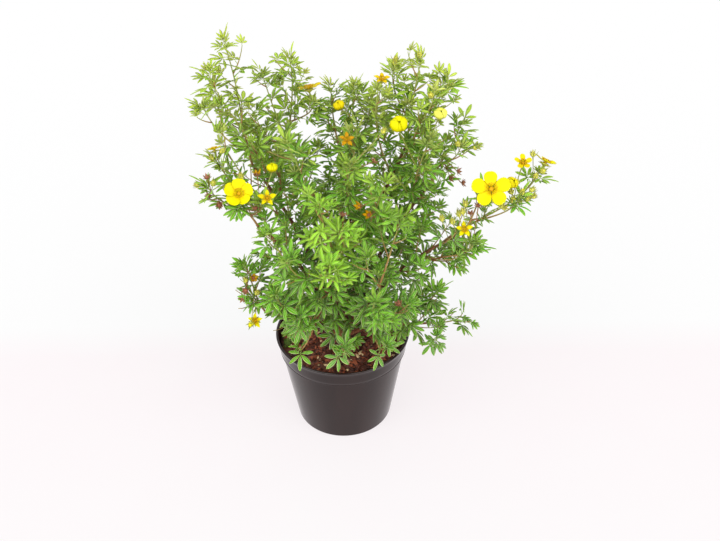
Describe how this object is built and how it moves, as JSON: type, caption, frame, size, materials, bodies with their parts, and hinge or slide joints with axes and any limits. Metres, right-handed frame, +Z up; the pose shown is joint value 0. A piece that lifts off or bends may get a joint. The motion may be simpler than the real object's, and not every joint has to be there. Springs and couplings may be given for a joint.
{
  "type": "potted shrubby cinquefoil",
  "caption": "Small flowering shrub with divided leaves and yellow five-petalled blooms, growing in a round tapered nursery pot filled with bark medium.",
  "frame": {"origin": "middle of the pot's foot, on the surface that the pot stands on", "axes": "+Z up along the pot's axis, -Y towards the side that the picture shows, +X to the right there, towards the long flowering branch"},
  "size_m": [0.4136, 0.2734, 0.5048],
  "materials": {
    "pot_plastic": "moulded black-brown polypropylene with a soft sheen",
    "bark_medium": "damp red-brown bark and coir chips",
    "cane_bark": "peeling reddish-brown bark",
    "foliage": "matt mid-green leaves and young stems",
    "petals": "satin clear yellow petals with golden stamens"
  },
  "bodies": {
    "root": {"bloom_back_edge": "petals", "bloom_back_half": "petals", "bloom_back_orange": "petals", "bloom_centre_faded": "petals", "bloom_far_edge": "petals", "bloom_far_half": "petals", "bloom_far_large": "petals", "bloom_far_orange": "petals", "bloom_far_star": "petals", "bloom_left_edge": "petals", "bloom_left_half": "petals", "bloom_left_large": "petals", "bloom_left_star": "petals", "bloom_lower_star": "petals", "bloom_right_cup": "petals", "bloom_right_pale": "petals", "medium": "bark_medium", "pot": "pot_plastic", "spray_back_left_low": "foliage", "spray_back_left_outer": "foliage", "spray_back_left_tip": "foliage", "spray_back_low_left": "foliage", "spray_back_low_mid": "foliage", "spray_back_mid_far": "foliage", "spray_back_mid_left": "foliage", "spray_back_mid_right": "foliage", "spray_back_right_inner": "foliage", "spray_back_right_low": "foliage", "spray_back_right_outer": "foliage", "spray_back_right_tip": "foliage", "spray_centre_front": "foliage", "spray_centre_left": "foliage", "spray_centre_right": "foliage", "spray_centre_tip": "foliage", "spray_far_bloom": "foliage", "spray_far_low": "foliage", "spray_far_tip": "foliage", "spray_front_left": "foliage", "spray_front_low": "foliage", "spray_front_mid": "foliage", "spray_front_right_low": "foliage", "spray_front_right_rim": "foliage", "spray_front_right_tip": "foliage", "spray_front_rim": "foliage", "spray_left_bloom": "foliage", "spray_left_front": "foliage", "spray_left_side": "foliage", "spray_lower_front": "foliage", "spray_lower_left": "foliage", "spray_right_back": "foliage", "spray_right_inner": "foliage", "spray_right_low_tip": "foliage", "spray_right_low_upper": "foliage", "spray_right_outer": "foliage", "spray_side_low_tip": "foliage", "spray_tall_crown": "foliage", "spray_tall_inner": "foliage", "spray_tall_low": "foliage", "spray_tall_outer": "foliage", "wood": "cane_bark"}
  },
  "joints": []
}
